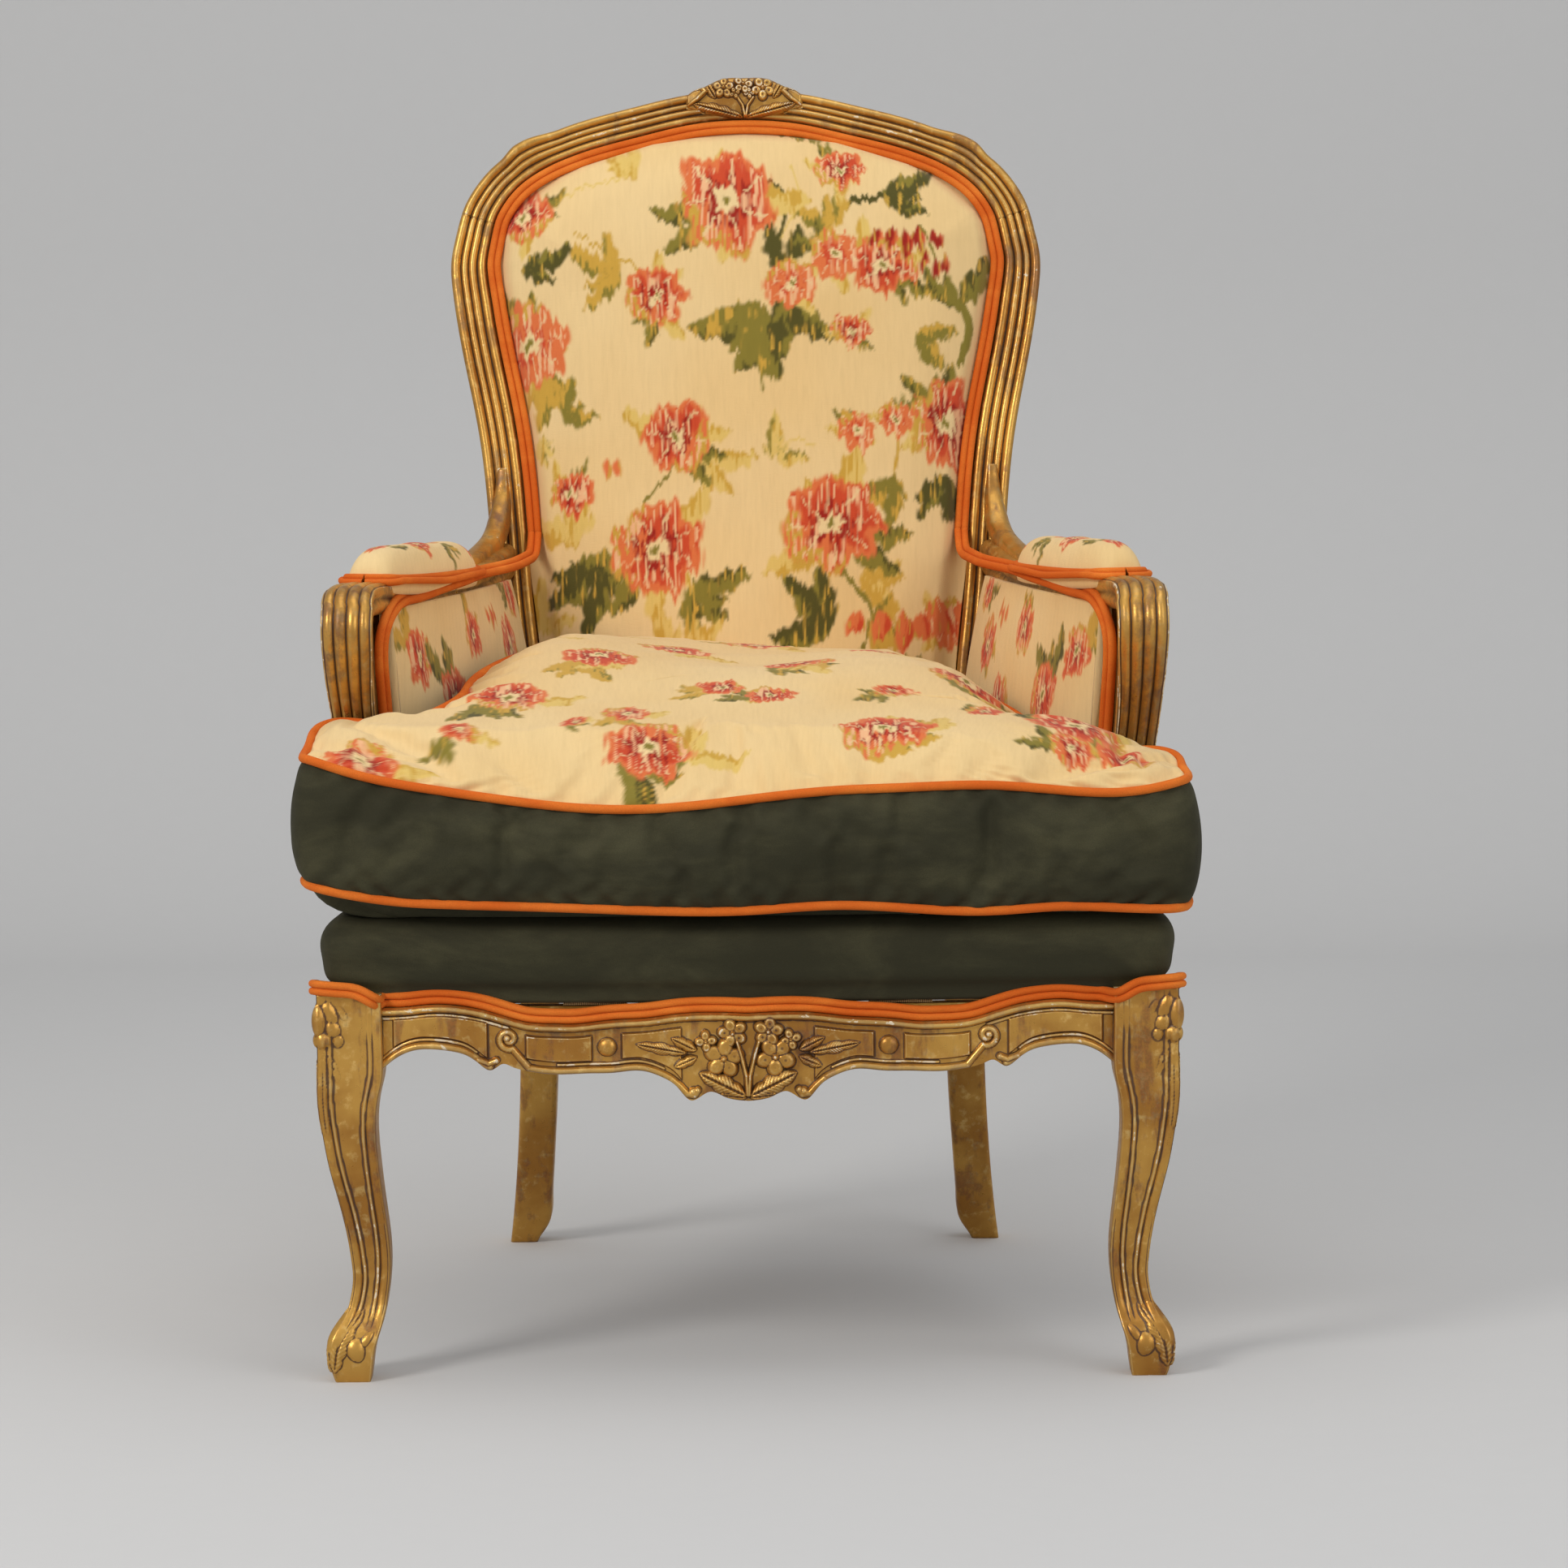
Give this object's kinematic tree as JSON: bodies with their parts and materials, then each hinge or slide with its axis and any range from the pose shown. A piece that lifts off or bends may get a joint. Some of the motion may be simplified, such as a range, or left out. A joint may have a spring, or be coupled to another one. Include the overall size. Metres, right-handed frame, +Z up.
{
  "type": "bergere chair",
  "caption": "Carved and gilded bergere armchair with a moulded frame, padded back and closed padded arms, cabriole legs and a loose boxed seat cushion.",
  "frame": {"origin": "on the floor, in the middle of the chair's box", "axes": "+Z up, -Y out of the chair's front, +X to the viewer's right when facing the chair"},
  "size_m": [0.706, 0.6919, 1.0441],
  "materials": {
    "gilded_wood": "worn water gilding over bole",
    "bare_beech": "plain",
    "floral_print": "printed cotton",
    "green_velvet": "velvet",
    "orange_welt": "velvet",
    "stuffing": "matte",
    "jute": "woven"
  },
  "bodies": {
    "chair": {"arm_pad_cover_left": "floral_print", "arm_pad_cover_right": "floral_print", "arm_pad_stuffing_left": "stuffing", "arm_pad_stuffing_right": "stuffing", "arm_rest_left": "gilded_wood", "arm_rest_right": "gilded_wood", "arm_support_left": "gilded_wood", "arm_support_right": "gilded_wood", "back_lower_rail": "gilded_wood", "back_stile_left": "gilded_wood", "back_stile_right": "gilded_wood", "back_stuffing": "stuffing", "back_welt": "orange_welt", "crest_rail": "gilded_wood", "front_corner_block_left": "bare_beech", "front_corner_block_right": "bare_beech", "front_leg_left": "gilded_wood", "front_leg_right": "gilded_wood", "front_seat_rail": "gilded_wood", "inside_arm_cover_left": "floral_print", "inside_arm_cover_right": "floral_print", "inside_arm_stuffing_left": "stuffing", "inside_arm_stuffing_right": "stuffing", "inside_arm_welt_left": "orange_welt", "inside_arm_welt_right": "orange_welt", "inside_back_cover": "floral_print", "outside_arm_cover_left": "floral_print", "outside_arm_cover_right": "floral_print", "outside_back_cover": "floral_print", "rear_corner_block_left": "bare_beech", "rear_corner_block_right": "bare_beech", "rear_seat_rail": "gilded_wood", "seat_cover": "green_velvet", "seat_hessian": "jute", "seat_stuffing": "stuffing", "seat_webbing": "jute", "seat_welt": "orange_welt", "side_seat_rail_left": "gilded_wood", "side_seat_rail_right": "gilded_wood"},
    "seat_cushion": {"cushion_core": "stuffing", "cushion_cover": "floral_print", "cushion_piping_bottom": "orange_welt", "cushion_piping_top": "orange_welt"}
  },
  "joints": [
    {"name": "cushion_lift", "type": "slide", "parent": "chair", "child": "seat_cushion", "axis": [0, -0.342, 0.9397], "range_m": [0, 0.3]}
  ]
}
